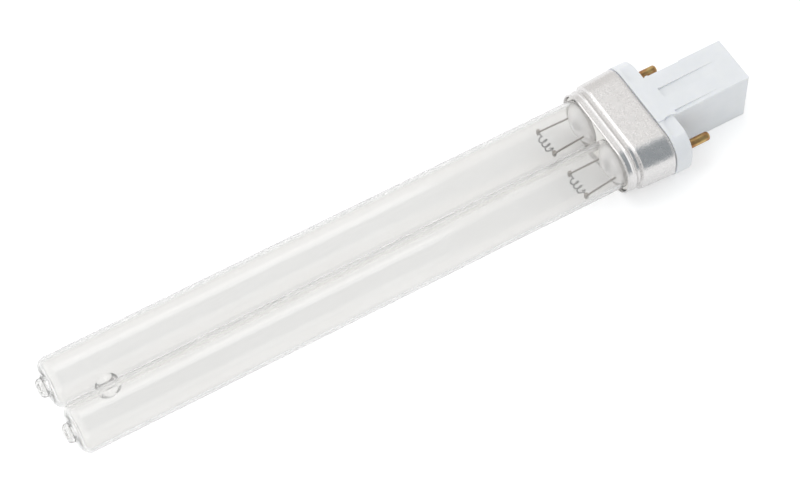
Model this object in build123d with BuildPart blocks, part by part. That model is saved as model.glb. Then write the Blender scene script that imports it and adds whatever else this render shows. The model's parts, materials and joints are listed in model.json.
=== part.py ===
from build123d import *
from math import cos, pi, radians, sin
import os

os.makedirs("parts", exist_ok=True)

# A compact ultraviolet lamp with a two-pin cap, lying on its broad side.
# X runs along the lamp, from the tips of the glass limbs to the end of the post. Y runs across
# the two limbs and Z is up. X = 0 is the seating face of the cap, between its two pins.

# Discharge tube, sizes in mm
limb_diameter = 12.5
limb_wall = 0.9
limb_pitch = 13.6
limb_end_x = -9.0
tip_x = -159.4
tip_flat = 1.25
nub_diameter = 4.8
nub_wall = 0.9
nub_length = 1.9
nub_corner_radius = 1.2
nub_root_radius = 0.5
bridge_x = -147.2
bridge_diameter = 5.8
bridge_wall = 0.9

# Stems, lead wires and coils
seal_clearance = 0.02
stem_top_x = -19.8
stem_dome_height = 2.2
stem_face_thickness = 2.2
stem_skirt_wall = 0.9
exhaust_stub_diameter = 2.6
exhaust_stub_end_x = -11.0
lead_diameter = 0.45
lead_spread = 2.8
lead_bend_radius = 1.0
lead_exit_length = 0.6
pin_lead_bend_x = -6.9
splice_lead_bend_x = -6.5
wire_entry_length = 1.2
coil_x = -27.4
coil_half_span = 3.6
coil_shift = {"back": -0.4, "front": -0.9}
coil_wire_diameter = 0.38
coil_radius = 0.85
coil_turns = 3
coil_pitch = 1.45
clamp_width = 1.5
clamp_length = 0.75
clamp_height = 0.75
coil_tail = 0.2
coil_leg_diameter = 0.44
coil_leg_overlap = 0.3
coil_thread_sides = 6
mercury_diameter = 1.0
mercury_x = -158.9

# Metal cap
cap_wall = 0.35
cap_mouth_x = -17.5
cap_end_x = -4.55
cap_side_clearance = 0.95
cap_top_clearance = 0.18
neck_flat = 0.28
lip_length = 0.55
lip_height = 0.16
bead_start_x = -15.95
bead_length = 1.05
bead_height = 0.3
groove_length = 1.3
groove_depth = 0.1
shoulder_length = 0.35
shoulder_width = 0.75
shoulder_height = 0.12
body_start_flat = 0.8
taper_width = 0.35
taper_height = 0.1
body_end_flat = 1.0
roll_length = 0.85
roll_depth = 0.42
bead_sections = 4
roll_sections = 3

# Plastic base housing: flange, skirt and post
flange_overhang = 0.15
flange_length = 4.5
flange_edge_radius = 0.7
ear_scoop_x = -1.3
ear_scoop_radius = 2.3
ear_scoop_reach = 0.5
ear_scoop_depth = 0.4
floor_thickness = 1.8
skirt_front_x = -8.1
skirt_clearance = 0.1
skirt_wall = 1.3
post_half_width = 6.45
post_half_height = 7.3
post_length = 21.5
post_edge_radius = 0.45
post_wall = 1.3
post_end_wall = 1.4
key_start_x = 0.8
key_length = 17.0
key_low_y = -0.95
key_high_y = 1.9
key_depth = 0.6
edge_ramp_width = 1.05
edge_ramp_length = 13.2
edge_ramp_depth = 0.5
latch_notch_length = 8.9
latch_notch_depth = 0.4

# Contact pins
pin_spacing = 23.0
pin_diameter = 2.3
pin_shank_diameter = 2.8
pin_reach = 7.0
pin_bore = 0.9
pin_bore_end_x = -1.2
pin_lead_clearance = 0.6
pin_tip_radius = 0.7
pin_fit_clearance = 0.02
boss_diameter = 4.8
boss_length = 2.4
pin_head_diameter = 3.4
pin_head_length = 0.5

# Cement, glow starter and suppression capacitor
cement_start_x = -16.9
cement_end_x = -8.2
cement_half_height = 5.6
cement_flat = 0.35
cement_clearance = 0.05
cement_neck_clearance = 0.15
cement_hole_radius = 4.4
starter_wall = 0.6
starter_start_x = 2.0
starter_clearance = 0.4
starter_end_clearance = 1.3
starter_pinch_length = 3.0
starter_electrode_y = 1.6
fixed_electrode_setback = 6.3
bimetal_foot_length = 1.5
bimetal_setback = 4.6
bimetal_hook_length = 3.7
bimetal_thickness = 0.25
bimetal_width = 1.6
bimetal_bend_radius = 0.75
capacitor_length = 9.0
capacitor_width = 7.5
capacitor_height = 3.2
capacitor_start_x = 3.0
capacitor_clearance = 0.5
capacitor_corner = 0.8
capacitor_lead_y = 2.5
capacitor_lead_depth = 1.5
splice_start_x = -5.5
splice_end_x = -2.2
splice_y = 3.0
splice_gap = 0.02

# Values worked out from the sizes above
limb_radius = limb_diameter / 2
bore_radius = limb_radius - limb_wall
limb_y = {"back": limb_pitch / 2, "front": -limb_pitch / 2}
pin_y = {"back": pin_spacing / 2, "front": -pin_spacing / 2}
nub_radius = nub_diameter / 2
tip_corner_radius = limb_radius - nub_radius - tip_flat
nub_x = tip_x - nub_length
lead_radius = lead_diameter / 2
splice_step = lead_diameter + splice_gap
bead_end_x = bead_start_x + bead_length
groove_end_x = bead_end_x + groove_length
roll_start_x = cap_end_x - roll_length
neck = (
    limb_pitch / 2 + limb_radius + cap_side_clearance + cap_wall,
    limb_radius + cap_top_clearance + cap_wall,
    limb_radius + cap_top_clearance + cap_wall - neck_flat,
)
body_start_half_height = neck[1] + shoulder_height
body_start = (neck[0] + shoulder_width, body_start_half_height, body_start_half_height - body_start_flat)
body_start_x = groove_end_x + shoulder_length
body_end_half_height = body_start_half_height + taper_height
body_end = (body_start[0] + taper_width, body_end_half_height, body_end_half_height - body_end_flat)
flange = (body_end[0] + flange_overhang, body_end[1], body_end[2])
flange_back_x = -flange_length
floor_x = -floor_thickness
post_cavity_end_x = post_length - post_end_wall
cavity_half_height = post_half_height - post_wall
capacitor_z = cavity_half_height - capacitor_clearance - capacitor_height / 2
starter_top_z = capacitor_z - capacitor_height / 2 - capacitor_clearance
starter_radius = (starter_top_z + cavity_half_height - starter_clearance) / 2
starter_z = starter_top_z - starter_radius
starter_end_x = post_cavity_end_x - starter_end_clearance
bimetal_start_x = starter_start_x + starter_pinch_length + bimetal_foot_length
bimetal_turn_x = starter_end_x - bimetal_setback


def cross_plane(x):
    """The plane across the lamp at x, with its own axes along Y and Z."""
    return Plane(origin=(x, 0, 0), x_dir=(0, 1, 0), z_dir=(1, 0, 0))


def axis_plane(y, z=0):
    """The level plane through a line along X, for profiles that are turned about that line."""
    return Plane(origin=(0, y, z), x_dir=(1, 0, 0), z_dir=(0, 0, 1))


def axis_along_x(y, z=0):
    return Axis((0, y, z), (1, 0, 0))


def save(builder, name):
    builder.part.label = name
    export_step(builder.part, f"parts/{name}.step")


def limb_profile(y, radius, end_x, small_radius, small_end_x, corners):
    """Half outline of a limb with its closed tip and nub, beside the limb's axis.

    The corners are rounded in the order tip, nub end and nub root.
    """
    with BuildSketch(axis_plane(y)) as profile:
        with BuildLine():
            Polyline(
                (limb_end_x, 0),
                (limb_end_x, radius),
                (end_x, radius),
                (end_x, small_radius),
                (small_end_x, small_radius),
                (small_end_x, 0),
                close=True,
            )
        make_face()
        places = ((end_x, radius, 0), (small_end_x, small_radius, 0), (end_x, small_radius, 0))
        for place, size in zip(places, corners):
            fillet(profile.vertices().sort_by_distance(place)[0], size)
    return profile.sketch


def bridge_section(radius):
    with BuildSketch(Plane.XZ.offset(-limb_pitch / 2)) as section:
        with Locations((bridge_x, 0)):
            Circle(radius)
    return section.sketch


def round_bar(radius, length, x, y, z=0, mode=Mode.ADD):
    """A bar or bore along +X from the point given."""
    with Locations(Plane(origin=(x, y, z), x_dir=(0, 1, 0), z_dir=(1, 0, 0))):
        Cylinder(radius, length, align=(Align.CENTER, Align.CENTER, Align.MIN), mode=mode)


def make_discharge_tube():
    """Two limbs, closed at the tips and joined by a hollow bridge: one fused piece of glass."""
    outer_corners = (tip_corner_radius, nub_corner_radius, nub_root_radius)
    outside = (limb_radius, tip_x, nub_radius, nub_x, outer_corners)
    inside = (
        bore_radius,
        tip_x + limb_wall,
        nub_radius - nub_wall,
        nub_x + nub_wall,
        (tip_corner_radius - limb_wall, nub_corner_radius - nub_wall / 2),
    )
    with BuildPart() as tube:
        for y in limb_y.values():
            revolve(limb_profile(y, *outside), axis=axis_along_x(y))
        extrude(bridge_section(bridge_diameter / 2), amount=limb_pitch)
        for y in limb_y.values():
            revolve(limb_profile(y, *inside), axis=axis_along_x(y), mode=Mode.SUBTRACT)
        extrude(bridge_section(bridge_diameter / 2 - bridge_wall), amount=limb_pitch, mode=Mode.SUBTRACT)
    save(tube, "discharge_tube")


def stem_profile(y, outer, inner):
    """Half section of the flare: domed face, skirt and hollow back."""
    shoulder_x = stem_top_x + stem_dome_height
    inner_top_x = stem_top_x + stem_face_thickness
    with BuildSketch(axis_plane(y)) as profile:
        with BuildLine():
            front_x = stem_top_x + stem_dome_height / 4
            ThreePointArc((stem_top_x, 0), (front_x, outer / 2), (shoulder_x, outer))
            Polyline(
                (shoulder_x, outer),
                (limb_end_x, outer),
                (limb_end_x, inner),
                (inner_top_x, inner),
                (inner_top_x, 0),
                (stem_top_x, 0),
            )
        make_face()
    return profile.sketch


def coil_end_y(side, sign):
    return limb_y[side] + coil_shift[side] + sign * coil_half_span


def lead_ends(side, sign):
    """Both ends of the straight run of a lead wire, from the coil through the stem."""
    start = Vector(coil_x, coil_end_y(side, sign), 0)
    end = Vector(limb_end_x - lead_exit_length, limb_y[side] + sign * lead_spread, 0)
    return start, end


def make_stem(side):
    """Flared glass stem with a domed face, a sealed exhaust stub and holes for the two lead wires."""
    y = limb_y[side]
    outer = bore_radius - seal_clearance
    stub_root_x = stem_top_x + stem_face_thickness / 2
    stub_radius = exhaust_stub_diameter / 2
    with BuildPart() as stem:
        revolve(stem_profile(y, outer, outer - stem_skirt_wall), axis=axis_along_x(y))
        round_bar(stub_radius, exhaust_stub_end_x - stub_radius - stub_root_x, stub_root_x, y)
        with Locations((exhaust_stub_end_x - stub_radius, y, 0)):
            Sphere(stub_radius)
        for sign in (1, -1):
            start, end = lead_ends(side, sign)
            with Locations(Plane(origin=start, z_dir=end - start)):
                Cylinder(
                    lead_radius + seal_clearance,
                    (end - start).length,
                    align=(Align.CENTER, Align.CENTER, Align.MIN),
                    mode=Mode.SUBTRACT,
                )
    save(stem, f"stem_{side}")


def wire_route(points, bend_radius=lead_bend_radius):
    with BuildLine() as route:
        FilletPolyline(*points, radius=bend_radius)
    return route.line


def round_section(path, radius):
    """The round section of a wire, square to the start of its path."""
    with BuildSketch(Plane(origin=path @ 0, z_dir=path % 0)) as section:
        Circle(radius)
    return section.sketch


def make_lead(side, sign, name, outer_points):
    """One lead wire: its clamp on the coil, its run through the stem and its outer end."""
    start, end = lead_ends(side, sign)
    route = wire_route([start, end] + outer_points)
    with BuildPart() as lead:
        sweep(sections=round_section(route, lead_radius), path=route)
        with Locations(Plane(origin=start, z_dir=(0, 1, 0))):
            Box(clamp_width, clamp_height, clamp_length)
            Cylinder(coil_leg_diameter / 2 + seal_clearance, 2 * clamp_length, mode=Mode.SUBTRACT)
    save(lead, name)


def make_leads():
    """Each electrode has one lead to its contact pin and one to the starter's side."""
    for side, sign in (("back", 1), ("front", -1)):
        to_pin = [
            (pin_lead_bend_x, pin_y[side], 0),
            (pin_bore_end_x - pin_lead_clearance, pin_y[side], 0),
        ]
        make_lead(side, sign, f"lead_{side}_pin", to_pin)
        to_starter = [
            (splice_lead_bend_x, sign * splice_y, 0),
            (splice_end_x, sign * splice_y, 0),
        ]
        make_lead(side, -sign, f"lead_{side}_starter", to_starter)


def make_coil(side):
    """Tungsten coil between the two clamps, drawn as its coated thread with open turns and legs."""
    top = coil_end_y(side, 1)
    low = coil_end_y(side, -1)
    coil_length = coil_turns * coil_pitch
    coil_low_y = (top + low - coil_length) / 2
    with BuildLine() as turns:
        Helix(
            pitch=coil_pitch,
            height=coil_length,
            radius=coil_radius,
            center=(coil_x, coil_low_y, -coil_radius),
            direction=(0, 1, 0),
        )
    with BuildSketch(Plane(origin=turns.line @ 0, z_dir=turns.line % 0)) as thread:
        RegularPolygon(coil_wire_diameter / 2, coil_thread_sides)
    with BuildPart() as coil:
        sweep(sections=thread.sketch, path=turns.line, is_frenet=True)
        for turn_y, end_y in ((coil_low_y, low), (coil_low_y + coil_length, top)):
            outwards = 1 if end_y > turn_y else -1
            leg_start_y = turn_y - outwards * coil_leg_overlap
            leg_end_y = end_y + outwards * (clamp_length / 2 + coil_tail)
            with Locations(Plane(origin=(coil_x, leg_start_y, 0), z_dir=(0, outwards, 0))):
                Cylinder(
                    coil_leg_diameter / 2,
                    abs(leg_end_y - leg_start_y),
                    align=(Align.CENTER, Align.CENTER, Align.MIN),
                )
    save(coil, f"coil_{side}")


def make_mercury_dose():
    """The drop of mercury, lying in the nub of the front limb."""
    radius = mercury_diameter / 2
    drop_z = radius + seal_clearance - (nub_radius - nub_wall)
    with BuildPart() as dose:
        with Locations((mercury_x, limb_y["front"], drop_z)):
            Sphere(radius)
    save(dose, "mercury_dose")


def grown(outline, amount):
    """A rounded outline, given as half width, half height and corner radius, offset outwards."""
    return tuple(value + amount for value in outline)


def cap_stations():
    """Outlines of the metal cap from its mouth to its rolled end, each with its place on X."""
    stations = [
        (cap_mouth_x, grown(neck, lip_height / 2)),
        (cap_mouth_x + lip_length / 2, grown(neck, lip_height)),
        (cap_mouth_x + lip_length, neck),
    ]
    for step in range(bead_sections + 1):
        share = step / bead_sections
        rise = bead_height * sin(pi * share)
        stations.append((bead_start_x + share * bead_length, grown(neck, rise)))
    stations += [
        (bead_end_x + shoulder_length, grown(neck, -groove_depth)),
        (groove_end_x - shoulder_length, grown(neck, -groove_depth)),
        (groove_end_x, grown(body_start, -groove_depth)),
        (body_start_x, body_start),
        (roll_start_x, body_end),
    ]
    for step in range(1, roll_sections + 1):
        turn = radians(90 * step / roll_sections)
        x = roll_start_x + roll_length * sin(turn)
        stations.append((x, grown(body_end, -roll_depth * (1 - cos(turn)))))
    return stations


def rounded_section(x, outline):
    half_width, half_height, corner = outline
    with BuildSketch(cross_plane(x)) as section:
        RectangleRounded(2 * half_width, 2 * half_height, corner)
    return section.sketch


def make_metal_cap():
    """Thin aluminium cap: lip, bead, groove and flat-sided body, with its end rolled in."""
    stations = cap_stations()
    with BuildPart() as cap:
        loft([rounded_section(x, outline) for x, outline in stations], ruled=True)
        loft(
            [rounded_section(x, grown(outline, -cap_wall)) for x, outline in stations],
            ruled=True,
            mode=Mode.SUBTRACT,
        )
    save(cap, "metal_cap")


def cap_inner_outline(x):
    """The cap's inner outline on its tapered body."""
    share = (x - body_start_x) / (roll_start_x - body_start_x)
    return tuple(start + (end - start) * share - cap_wall for start, end in zip(body_start, body_end))


def post_section(x, wall=0.0):
    with BuildSketch(cross_plane(x)) as section:
        Rectangle(2 * (post_half_width - wall), 2 * (post_half_height - wall))
    return section.sketch


def make_base_housing():
    """White moulded base: skirt inside the metal cap, flange and the hollow post."""
    skirt_front = grown(cap_inner_outline(skirt_front_x), -skirt_clearance)
    skirt_back = grown(cap_inner_outline(roll_start_x), -skirt_clearance)
    roll_seat = grown(body_end, -roll_depth - cap_wall - skirt_clearance)
    with BuildPart() as housing:
        extrude(rounded_section(flange_back_x, flange), amount=flange_length)
        fillet(housing.faces().sort_by(Axis.X)[-1].edges(), flange_edge_radius)
        extrude(post_section(flange_back_x), amount=flange_length + post_length)
        fillet(housing.faces().sort_by(Axis.X)[-1].edges(), post_edge_radius)
        extrude(rounded_section(roll_start_x, roll_seat), amount=flange_back_x - roll_start_x)
        loft(
            [rounded_section(skirt_front_x, skirt_front), rounded_section(roll_start_x, skirt_back)],
            ruled=True,
        )
        extrude(
            rounded_section(skirt_front_x, grown(skirt_front, -skirt_wall)),
            amount=floor_x - skirt_front_x,
            mode=Mode.SUBTRACT,
        )
        extrude(post_section(floor_x, post_wall), amount=post_cavity_end_x - floor_x, mode=Mode.SUBTRACT)
        for y in pin_y.values():
            round_bar(boss_diameter / 2, boss_length, floor_x - boss_length, y)
            round_bar(
                pin_shank_diameter / 2 + pin_fit_clearance,
                floor_thickness + boss_length,
                floor_x - boss_length,
                y,
                mode=Mode.SUBTRACT,
            )
        for turn in (0, 180):
            for recess in (ear_scoops(), *post_recesses()):
                add(Rotation(turn, 0, 0) * recess, mode=Mode.SUBTRACT)
    save(housing, "base_housing")


def ramp_cut(low_y, high_y, length, depth):
    """A recess in the post's top face, deepest by the flange and fading out along the post."""
    with BuildPart() as cut:
        with BuildSketch(Plane.XZ.offset(-high_y)):
            with BuildLine():
                Polyline(
                    (key_start_x, post_half_height - depth),
                    (key_start_x + length, post_half_height),
                    (key_start_x, post_half_height),
                    close=True,
                )
            make_face()
        extrude(amount=high_y - low_y)
    return cut.part


def ear_scoops():
    """Shallow round-ended scoops in the flange's top, from the post's edges out over the ears."""
    inner_y = post_half_width - ear_scoop_reach + ear_scoop_radius
    floor_z = flange[1] - ear_scoop_depth
    middle_y = (inner_y + flange[0]) / 2
    with BuildPart() as scoops:
        with BuildSketch(Plane.XY.offset(floor_z)):
            with Locations((ear_scoop_x, middle_y), (ear_scoop_x, -middle_y)):
                SlotCenterToCenter(flange[0] - inner_y, 2 * ear_scoop_radius, rotation=90)
        extrude(amount=post_half_height - floor_z)
    return scoops.part


def post_recesses():
    """Key ramp, edge ramp and latch notch in the post's top face."""
    edge_inner_y = edge_ramp_width - post_half_width
    with BuildPart() as notch:
        with Locations((key_start_x, post_half_width, post_half_height)):
            Box(
                latch_notch_length,
                latch_notch_depth,
                latch_notch_depth,
                align=(Align.MIN, Align.MAX, Align.MAX),
            )
    return (
        ramp_cut(key_low_y, key_high_y, key_length, key_depth),
        ramp_cut(-post_half_width, edge_inner_y, edge_ramp_length, edge_ramp_depth),
        notch.part,
    )


def make_pin(side):
    """Brass pin: rounded tip, thicker shank in the housing, and a hollow head behind its boss."""
    y = pin_y[side]
    radius = pin_diameter / 2
    head_x = floor_x - boss_length
    tail_x = head_x - pin_head_length
    with BuildPart() as pin:
        with BuildSketch(axis_plane(y)) as profile:
            with BuildLine():
                Polyline(
                    (tail_x, pin_bore / 2),
                    (tail_x, pin_head_diameter / 2),
                    (head_x, pin_head_diameter / 2),
                    (head_x, pin_shank_diameter / 2),
                    (0, pin_shank_diameter / 2),
                    (0, radius),
                    (pin_reach, radius),
                    (pin_reach, 0),
                    (pin_bore_end_x, 0),
                    (pin_bore_end_x, pin_bore / 2),
                    close=True,
                )
            make_face()
            fillet(profile.vertices().sort_by_distance((pin_reach, radius, 0))[0], pin_tip_radius)
        revolve(axis=axis_along_x(y))
    save(pin, f"contact_pin_{side}")


def make_cement():
    """Capping cement round the limbs and over their rims, inside the metal cap."""
    neck_half_width = neck[0] - cap_wall - cement_neck_clearance
    stations = [(cement_start_x, neck_half_width), (groove_end_x, neck_half_width)]
    stations += [(x, cap_inner_outline(x)[0] - cement_clearance) for x in (body_start_x, cement_end_x)]
    corner = cement_half_height - cement_flat
    with BuildPart() as cement:
        loft([rounded_section(x, (width, cement_half_height, corner)) for x, width in stations], ruled=True)
        for y in limb_y.values():
            round_bar(
                limb_radius + seal_clearance,
                limb_end_x + seal_clearance - cement_start_x,
                cement_start_x,
                y,
                mode=Mode.SUBTRACT,
            )
            round_bar(
                cement_hole_radius, cement_end_x - cement_start_x, cement_start_x, y, mode=Mode.SUBTRACT
            )
    save(cement, "capping_cement")


def bottle_profile(start, end, radius):
    """Half outline of a round-ended bottle about the starter's axis."""
    with BuildSketch(axis_plane(0, starter_z)) as profile:
        with BuildLine():
            Polyline((end, 0), (start, 0), (start, radius), (end - radius, radius))
            CenterArc((end - radius, 0), radius, 0, 90)
        make_face()
    return profile.sketch


def make_starter_bulb():
    """Gas-filled starter bulb: a small closed bottle with a solid pinch round its two wires."""
    pinch_x = starter_start_x + starter_pinch_length
    axis = axis_along_x(0, starter_z)
    with BuildPart() as bulb:
        revolve(bottle_profile(starter_start_x, starter_end_x, starter_radius), axis=axis)
        cavity = bottle_profile(pinch_x, starter_end_x - starter_wall, starter_radius - starter_wall)
        revolve(cavity, axis=axis, mode=Mode.SUBTRACT)
        for y in (starter_electrode_y, -starter_electrode_y):
            round_bar(
                lead_radius + seal_clearance,
                starter_pinch_length,
                starter_start_x,
                y,
                starter_z,
                mode=Mode.SUBTRACT,
            )
    save(bulb, "starter_bulb")


def starter_route(sign, end_x):
    """Route of a starter wire from the splice, through the pinch, to its end inside the bulb."""
    return wire_route(
        [
            (splice_start_x, sign * splice_y, -splice_step),
            (splice_end_x, sign * splice_y, -splice_step),
            (starter_start_x - wire_entry_length, sign * starter_electrode_y, starter_z),
            (end_x, sign * starter_electrode_y, starter_z),
        ]
    )


def bimetal_outline():
    """Edge-on outline of the bent bimetal strip."""
    strip_y = -starter_electrode_y
    turn_y = strip_y + 2 * bimetal_bend_radius
    with BuildSketch(axis_plane(0, starter_z - bimetal_width / 2)) as outline:
        with BuildLine() as strip:
            Line((bimetal_start_x, strip_y), (bimetal_turn_x, strip_y))
            CenterArc((bimetal_turn_x, strip_y + bimetal_bend_radius), bimetal_bend_radius, -90, 180)
            Line((bimetal_turn_x, turn_y), (bimetal_turn_x - bimetal_hook_length, turn_y))
        trace(strip.line, bimetal_thickness)
    return outline.sketch


def make_starter_electrodes():
    """The starter's two wires: a plain one, and one that carries the bimetal strip."""
    fixed_route = starter_route(1, starter_end_x - fixed_electrode_setback)
    with BuildPart() as fixed:
        sweep(sections=round_section(fixed_route, lead_radius), path=fixed_route)
    save(fixed, "starter_fixed_electrode")
    bimetal_route = starter_route(-1, bimetal_start_x + lead_diameter)
    with BuildPart() as bimetal:
        sweep(sections=round_section(bimetal_route, lead_radius), path=bimetal_route)
        extrude(bimetal_outline(), amount=bimetal_width)
    save(bimetal, "starter_bimetal_electrode")


def make_capacitor():
    """Suppression capacitor over the starter, with its two wires."""
    with BuildPart() as body:
        with Locations((capacitor_start_x + capacitor_length / 2, 0, capacitor_z)):
            Box(capacitor_length, capacitor_width, capacitor_height)
        fillet(body.edges().filter_by(Axis.X), capacitor_corner)
        for sign in (1, -1):
            round_bar(
                lead_radius + seal_clearance,
                capacitor_lead_depth + seal_clearance,
                capacitor_start_x,
                sign * capacitor_lead_y,
                capacitor_z,
                mode=Mode.SUBTRACT,
            )
    save(body, "capacitor_body")
    for side, sign in (("back", 1), ("front", -1)):
        route = wire_route(
            [
                (splice_start_x, sign * splice_y, splice_step),
                (splice_end_x, sign * splice_y, splice_step),
                (capacitor_start_x - wire_entry_length, sign * capacitor_lead_y, capacitor_z),
                (capacitor_start_x + capacitor_lead_depth, sign * capacitor_lead_y, capacitor_z),
            ]
        )
        with BuildPart() as lead:
            sweep(sections=round_section(route, lead_radius), path=route)
        save(lead, f"capacitor_lead_{side}")


make_discharge_tube()
for limb in ("back", "front"):
    make_stem(limb)
    make_coil(limb)
    make_pin(limb)
make_leads()
make_mercury_dose()
make_metal_cap()
make_base_housing()
make_cement()
make_starter_bulb()
make_starter_electrodes()
make_capacitor()
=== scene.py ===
import json
import math

import bpy
from mathutils import Matrix, Vector


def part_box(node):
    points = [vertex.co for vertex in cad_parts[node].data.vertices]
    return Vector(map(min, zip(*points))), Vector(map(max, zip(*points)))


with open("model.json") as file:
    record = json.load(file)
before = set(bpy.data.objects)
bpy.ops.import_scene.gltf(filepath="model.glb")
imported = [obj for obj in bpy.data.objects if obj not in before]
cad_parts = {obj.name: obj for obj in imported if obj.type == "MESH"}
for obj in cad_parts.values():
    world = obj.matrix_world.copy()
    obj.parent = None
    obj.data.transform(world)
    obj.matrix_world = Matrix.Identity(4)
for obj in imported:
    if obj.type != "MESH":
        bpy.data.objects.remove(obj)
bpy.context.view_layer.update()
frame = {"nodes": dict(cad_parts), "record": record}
nodes = frame["nodes"]

# Lengths are in metres, angles in degrees, and a noise scale counts lumps in a metre.
MM = 0.001
WHITE = (1.0, 1.0, 1.0, 1.0)

# The camera stands at the photograph's viewing angle. Its lens and sensor are in millimetres.
CAMERA_AIM = Vector((-70.9, 0.5, 0.0)) * MM
CAMERA_AZIMUTH = -28.685
CAMERA_ELEVATION = 56.282
CAMERA_ROLL = -1.776
CAMERA_DISTANCE = 625.6 * MM
CAMERA_LENS = 121.19
CAMERA_SENSOR = 36.0
CAMERA_NEAREST = 0.01
CAMERA_FARTHEST = 50.0

# The room round the lamp, by direction: x points to the right and y to the back.
ROOM_MIDDLE = (0.93, 0.92, 0.905, 1.0)
ROOM_SIDES = (1.30, 1.31, 1.32, 1.0)
ROOM_STRIP = (0.36, 0.395, 0.42, 1.0)
ROOM_CENTRE_X = 0.30

# How far from the centre the bright sides start, and where they are full.
SIDES_START = 0.45
SIDES_FULL = 0.85

# How far from the centre the dark strip is still full, and where it ends.
STRIP_FULL = 0.22
STRIP_END = 0.46

# How far back the dark strip is still full, and where it ends.
STRIP_FULL_Y = 0.08
STRIP_END_Y = 0.46

KEY_PLACE = Vector((-0.03, 0.27, 0.80))
KEY_AIM = Vector((-0.03, 0.0, 0.0))
KEY_WIDTH = 0.44
KEY_LENGTH = 0.46
KEY_POWER = 0.8

# The floor's glow makes it white for the camera and in mirrors, and less so through glass.
FLOOR_REACH = 4.0
FLOOR_COLOUR = 0.88
FLOOR_GLOW = 0.30
FLOOR_GLOW_THROUGH = 0.06

# Where glass starts to count as seen edge on, and where it fully does. There it darkens to the rim
# colour, a painted shade.
RIM_START = 0.42
RIM_FULL = 0.62

# Glass: the lumps of its tint, its smears and its waves, which run along the limbs.
GLASS_IOR = 1.47
GLASS_TINT_SCALE = 60.0
GLASS_SMEAR_SCALE = 45.0
GLASS_SMEAR_STRETCH = (0.3, 1.0, 1.0)
GLASS_WAVE_SCALE = 55.0
GLASS_WAVE_STRETCH = (0.25, 1.0, 1.0)
GLASS_WAVE_DEPTH = 0.2 * MM

# What a face of glass lets by of the light from the lamps.
GLASS_LETS_BY = 0.985

# The stretch of a noise over which a colour changes from dark to light.
SOFT_CHANGE = (0.3, 0.7)
SHARP_CHANGE = (0.35, 0.65)

# How many grains wide a dull spot on metal is, and a tinted patch on a moulded solid.
METAL_SPOT_GRAINS = 3
SOLID_PATCH_GRAINS = 8

# How far light of each colour wanders inside a solid that lets some in.
SUBSURFACE_RADIUS = (0.004, 0.004, 0.005)
SUBSURFACE_SCALE = 0.3

# A colour Mix node has sockets of all its kinds, so its colour ones go by number.
MIX_SHARE = 0
MIX_FIRST = 6
MIX_SECOND = 7
MIX_RESULT = 2


def grey(value):
    return (value, value, value, 1.0)


class NodeTree:
    """A short way to write the node tree of a material or the world."""

    def __init__(self, owner):
        owner.use_nodes = True
        self.tree = owner.node_tree
        self.tree.nodes.clear()

    def add(self, kind, inputs=None, **settings):
        """A new node. An input is a value, or another node's output to link it to."""
        node = self.tree.nodes.new("ShaderNode" + kind)
        for name, value in settings.items():
            setattr(node, name, value)
        for name, value in (inputs or {}).items():
            if isinstance(value, bpy.types.NodeSocket):
                self.tree.links.new(value, node.inputs[name])
            else:
                node.inputs[name].default_value = value
        return node

    def math(self, operation, *values, clamp=False):
        inputs = dict(enumerate(values))
        return self.add("Math", inputs, operation=operation, use_clamp=clamp).outputs[0]

    def mix(self, share, first, second):
        """A colour between two: the first at a share of 0, the second at 1."""
        inputs = {MIX_SHARE: share, MIX_FIRST: first, MIX_SECOND: second}
        return self.add("Mix", inputs, data_type="RGBA").outputs[MIX_RESULT]

    def noise(self, scale, detail=3.0, roughness=0.55, stretch=(1.0, 1.0, 1.0)):
        """Noise over the object's own place, as a value from 0 to 1."""
        place = self.add("TexCoord").outputs["Object"]
        mapped = self.add("Mapping", {"Vector": place, "Scale": stretch}).outputs["Vector"]
        inputs = {"Vector": mapped, "Scale": scale, "Detail": detail, "Roughness": roughness}
        return self.add("TexNoise", inputs).outputs["Fac"]

    def colours(self, value, change, dark, light):
        """Dark up to the start of the change, light from its end on."""
        node = self.add("ValToRGB", {"Fac": value})
        for element, position, colour in zip(node.color_ramp.elements, change, (dark, light)):
            element.position = position
            element.color = colour
        return node.outputs["Color"]

    def spread(self, value, first, last, start=0.0, end=1.0, way="LINEAR"):
        """The first number where the value is at its start, and the last where it is at its end."""
        limits = {"From Min": start, "From Max": end, "To Min": first, "To Max": last}
        inputs = {"Value": value, **limits}
        return self.add("MapRange", inputs, interpolation_type=way).outputs["Result"]

    def bump(self, height, distance, strength=1.0, under=None):
        """Bumps on the plain surface, or on the bumps under them."""
        inputs = {"Height": height, "Strength": strength, "Distance": distance}
        if under is not None:
            inputs["Normal"] = under
        return self.add("Bump", inputs).outputs["Normal"]


def make_camera():
    azimuth = math.radians(CAMERA_AZIMUTH)
    elevation = math.radians(CAMERA_ELEVATION)
    back = Vector(
        (
            math.sin(azimuth) * math.cos(elevation),
            -math.cos(azimuth) * math.cos(elevation),
            math.sin(elevation),
        )
    )
    level = Vector((math.cos(azimuth), math.sin(azimuth), 0.0))
    right = Matrix.Rotation(math.radians(CAMERA_ROLL), 3, back) @ level
    up = back.cross(right)
    data = bpy.data.cameras.new("camera")
    data.lens = CAMERA_LENS
    data.sensor_width = CAMERA_SENSOR
    data.clip_start = CAMERA_NEAREST
    data.clip_end = CAMERA_FARTHEST
    camera = bpy.data.objects.new("camera", data)
    bpy.context.scene.collection.objects.link(camera)
    turn = Matrix((right, up, back)).transposed().to_4x4()
    camera.matrix_world = Matrix.Translation(CAMERA_AIM + back * CAMERA_DISTANCE) @ turn
    bpy.context.scene.camera = camera


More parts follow.
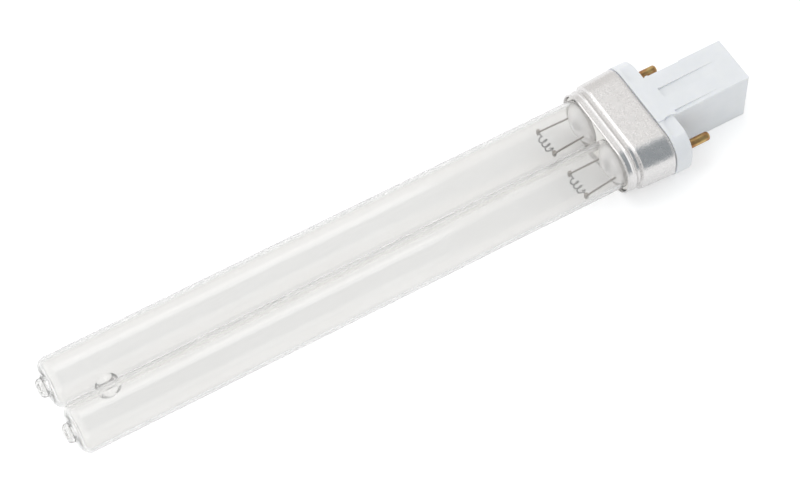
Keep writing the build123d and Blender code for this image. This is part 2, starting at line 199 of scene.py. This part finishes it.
def make_world():
    """A pale room with brighter sides and a dark strip from above to the front.

    The camera itself sees plain white in its place.
    """
    world = bpy.data.worlds.new("studio")
    bpy.context.scene.world = world
    tree = NodeTree(world)
    way = tree.add("TexCoord").outputs["Generated"]
    split = tree.add("SeparateXYZ", {"Vector": way}).outputs
    aside = tree.math("ABSOLUTE", tree.math("SUBTRACT", split["X"], ROOM_CENTRE_X))
    sides = tree.spread(aside, 0.0, 1.0, SIDES_START, SIDES_FULL, "SMOOTHSTEP")
    room = tree.mix(sides, ROOM_MIDDLE, ROOM_SIDES)
    across = tree.spread(aside, 1.0, 0.0, STRIP_FULL, STRIP_END, "SMOOTHSTEP")
    along = tree.spread(split["Y"], 1.0, 0.0, STRIP_FULL_Y, STRIP_END_Y, "SMOOTHSTEP")
    room = tree.mix(tree.math("MULTIPLY", across, along), room, ROOM_STRIP)
    ray = tree.add("LightPath").outputs
    shown = tree.mix(ray["Is Camera Ray"], room, WHITE)
    background = tree.add("Background", {"Color": shown, "Strength": 1.0})
    tree.add("OutputWorld", {"Surface": background.outputs["Background"]})


def make_key_light():
    """A large soft light above and behind the lamp."""
    data = bpy.data.lights.new("key", "AREA")
    data.shape = "RECTANGLE"
    data.size = KEY_WIDTH
    data.size_y = KEY_LENGTH
    data.energy = KEY_POWER
    light = bpy.data.objects.new("key", data)
    bpy.context.scene.collection.objects.link(light)
    light.location = KEY_PLACE
    light.rotation_euler = (KEY_AIM - KEY_PLACE).to_track_quat("-Z", "Y").to_euler()


def floor_paint():
    material = bpy.data.materials.new("floor")
    tree = NodeTree(material)
    ray = tree.add("LightPath").outputs
    # A ray through glass counts as glossy too, so it is taken off to leave the mirrored rays.
    mirrored = tree.math("SUBTRACT", ray["Is Glossy Ray"], ray["Is Transmission Ray"], clamp=True)
    seen = tree.math("MAXIMUM", ray["Is Camera Ray"], mirrored)
    through = tree.math("MULTIPLY", ray["Is Transmission Ray"], FLOOR_GLOW_THROUGH)
    paint = tree.add(
        "BsdfPrincipled",
        {
            "Base Color": grey(FLOOR_COLOUR),
            "Roughness": 1.0,
            "Specular IOR Level": 0.0,
            "Emission Color": WHITE,
            "Emission Strength": tree.math("MULTIPLY_ADD", seen, FLOOR_GLOW, through),
        },
    )
    tree.add("OutputMaterial", {"Surface": paint.outputs["BSDF"]})
    return material


def make_floor():
    """A plain floor at the lamp's lowest point. It keeps the lamp's shadow."""
    low = min(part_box(name)[0].z for name in nodes)
    signs = [(-1, -1), (1, -1), (1, 1), (-1, 1)]
    corners = [(x * FLOOR_REACH, y * FLOOR_REACH, low) for x, y in signs]
    mesh = bpy.data.meshes.new("floor")
    mesh.from_pydata(corners, [], [(0, 1, 2, 3)])
    mesh.materials.append(floor_paint())
    floor = bpy.data.objects.new("floor", mesh)
    bpy.context.scene.collection.objects.link(floor)


def glass(name, dark, light, painted_rim_shade, roughness, wave_strength, clearness):
    """Clear glass with faint smears and waves. Seen edge on, it darkens to the rim colour: painted
    shade on the rims, partly for the longer path through the glass.
    """
    material = bpy.data.materials.new(name)
    tree = NodeTree(material)
    # Painted shade: the colour darkens where the glass is seen edge on, partly for the longer path
    # through the glass.
    facing = tree.add("LayerWeight", {"Blend": 0.5}).outputs["Facing"]
    rim_shade_share = tree.spread(facing, 0.0, 1.0, RIM_START, RIM_FULL, "SMOOTHSTEP")
    tint = tree.colours(tree.noise(GLASS_TINT_SCALE), SOFT_CHANGE, dark, light)
    smears = tree.noise(GLASS_SMEAR_SCALE, stretch=GLASS_SMEAR_STRETCH)
    waves = tree.noise(GLASS_WAVE_SCALE, stretch=GLASS_WAVE_STRETCH)
    surface = tree.add(
        "BsdfPrincipled",
        {
            "Base Color": tree.mix(rim_shade_share, tint, painted_rim_shade),
            "Roughness": tree.spread(smears, *roughness),
            "IOR": GLASS_IOR,
            "Transmission Weight": clearness,
            "Normal": tree.bump(waves, GLASS_WAVE_DEPTH, wave_strength),
        },
    )
    # Light from the lamps passes straight through, so what lies behind the glass isn't left dark.
    ray = tree.add("LightPath").outputs
    let_by = tree.math("MAXIMUM", ray["Is Shadow Ray"], ray["Is Diffuse Ray"])
    clear = tree.add("BsdfTransparent", {"Color": grey(GLASS_LETS_BY)})
    both = {0: let_by, 1: surface.outputs["BSDF"], 2: clear.outputs["BSDF"]}
    tree.add("OutputMaterial", {"Surface": tree.add("MixShader", both).outputs["Shader"]})
    return material


def metal(name, dark, light, roughness, grain, grain_depth, dents, dent_depth, patchy=False):
    """Metal with a fine grain, shallow dents and dull spots.

    The grain carries the change of colour, or the dents do where the metal is patchy.
    """
    material = bpy.data.materials.new(name)
    tree = NodeTree(material)
    fine = tree.noise(grain, detail=6.0, roughness=0.7)
    coarse = tree.noise(dents, detail=2.0)
    spots = tree.noise(grain / METAL_SPOT_GRAINS, detail=4.0)
    dented = tree.bump(coarse, dent_depth)
    surface = tree.add(
        "BsdfPrincipled",
        {
            "Base Color": tree.colours(coarse if patchy else fine, SHARP_CHANGE, dark, light),
            "Metallic": 1.0,
            "Roughness": tree.spread(spots, *roughness),
            "Normal": tree.bump(fine, grain_depth, under=dented),
        },
    )
    tree.add("OutputMaterial", {"Surface": surface.outputs["BSDF"]})
    return material


def solid(name, dark, light, roughness, grain, grain_depth, subsurface=0.0):
    """A moulded or dipped solid with a fine grain and faintly tinted patches."""
    material = bpy.data.materials.new(name)
    tree = NodeTree(material)
    fine = tree.noise(grain, detail=5.0)
    patches = tree.noise(grain / SOLID_PATCH_GRAINS)
    surface = tree.add(
        "BsdfPrincipled",
        {
            "Base Color": tree.colours(patches, SOFT_CHANGE, dark, light),
            "Roughness": tree.spread(fine, *roughness),
            "Subsurface Weight": subsurface,
            "Subsurface Radius": SUBSURFACE_RADIUS,
            "Subsurface Scale": SUBSURFACE_SCALE,
            "Normal": tree.bump(fine, grain_depth, strength=0.5),
        },
    )
    tree.add("OutputMaterial", {"Surface": surface.outputs["BSDF"]})
    return material


def clear_glass():
    return glass(
        "clear_glass",
        dark=(0.967, 0.959, 0.947, 1.0),
        light=(0.977, 0.97, 0.96, 1.0),
        # The rim colour is painted shade where the glass is seen edge on.
        painted_rim_shade=(0.865, 0.862, 0.852, 1.0),
        roughness=(0.066, 0.11),
        wave_strength=0.01,
        clearness=0.93,
    )


def stem_glass():
    return glass(
        "stem_glass",
        dark=(0.94, 0.925, 0.915, 1.0),
        light=(0.98, 0.965, 0.955, 1.0),
        # The rim colour is painted shade where the glass is seen edge on.
        painted_rim_shade=(0.93, 0.915, 0.905, 1.0),
        roughness=(0.15, 0.25),
        wave_strength=0.05,
        clearness=0.6,
    )


def aluminium():
    return metal(
        "aluminium",
        dark=(0.66, 0.65, 0.645, 1.0),
        light=(0.72, 0.705, 0.70, 1.0),
        roughness=(0.2, 0.34),
        grain=1500.0,
        grain_depth=0.045 * MM,
        dents=260.0,
        dent_depth=0.015 * MM,
    )


def brass():
    return metal(
        "brass",
        dark=(0.32, 0.13, 0.06, 1.0),
        light=(0.54, 0.38, 0.16, 1.0),
        roughness=(0.25, 0.4),
        grain=1500.0,
        grain_depth=0.03 * MM,
        dents=420.0,
        dent_depth=0.06 * MM,
        patchy=True,
    )


def tungsten():
    return metal(
        "tungsten",
        dark=(0.26, 0.255, 0.25, 1.0),
        light=(0.44, 0.435, 0.43, 1.0),
        roughness=(0.4, 0.6),
        grain=4000.0,
        grain_depth=0.02 * MM,
        dents=900.0,
        dent_depth=0.02 * MM,
    )


def lead_wire():
    return metal(
        "lead_wire",
        dark=(0.22, 0.20, 0.18, 1.0),
        light=(0.38, 0.35, 0.32, 1.0),
        roughness=(0.3, 0.5),
        grain=3000.0,
        grain_depth=0.01 * MM,
        dents=600.0,
        dent_depth=0.02 * MM,
    )


def bimetal():
    return metal(
        "bimetal",
        dark=(0.38, 0.36, 0.32, 1.0),
        light=(0.55, 0.53, 0.48, 1.0),
        roughness=(0.3, 0.45),
        grain=2000.0,
        grain_depth=0.01 * MM,
        dents=400.0,
        dent_depth=0.02 * MM,
    )


def tinned_wire():
    return metal(
        "tinned_wire",
        dark=(0.60, 0.60, 0.60, 1.0),
        light=(0.78, 0.78, 0.78, 1.0),
        roughness=(0.15, 0.3),
        grain=2000.0,
        grain_depth=0.01 * MM,
        dents=400.0,
        dent_depth=0.02 * MM,
    )


def mercury():
    return metal(
        "mercury",
        dark=(0.70, 0.71, 0.73, 1.0),
        light=(0.78, 0.79, 0.81, 1.0),
        roughness=(0.02, 0.05),
        grain=1500.0,
        grain_depth=0.002 * MM,
        dents=300.0,
        dent_depth=0.01 * MM,
    )


def white_plastic():
    return solid(
        "white_plastic",
        dark=(0.78, 0.80, 0.825, 1.0),
        light=(0.82, 0.835, 0.855, 1.0),
        roughness=(0.28, 0.42),
        grain=1800.0,
        grain_depth=0.015 * MM,
        subsurface=0.25,
    )


def cement():
    return solid(
        "cement",
        dark=(0.84, 0.82, 0.78, 1.0),
        light=(0.90, 0.88, 0.85, 1.0),
        roughness=(0.85, 0.98),
        grain=900.0,
        grain_depth=0.03 * MM,
    )


def capacitor_coat():
    return solid(
        "capacitor_coat",
        dark=(0.42, 0.10, 0.04, 1.0),
        light=(0.55, 0.16, 0.06, 1.0),
        roughness=(0.25, 0.4),
        grain=900.0,
        grain_depth=0.04 * MM,
    )


def make_materials():
    """A material for each of the record's slots. Each is made by the function of the slot's name."""
    makers = (
        clear_glass,
        stem_glass,
        aluminium,
        brass,
        tungsten,
        lead_wire,
        bimetal,
        tinned_wire,
        mercury,
        white_plastic,
        cement,
        capacitor_coat,
    )
    return {make.__name__: make() for make in makers}


def dress_cad_nodes(materials):
    slots = {row["node"]: row["material_slot"] for row in frame["record"]["subparts"]}
    for name, node in nodes.items():
        node.data.materials.clear()
        node.data.materials.append(materials[slots[name]])


bpy.context.scene.view_settings.view_transform = "Standard"
make_camera()
make_world()
make_floor()
make_key_light()
dress_cad_nodes(make_materials())
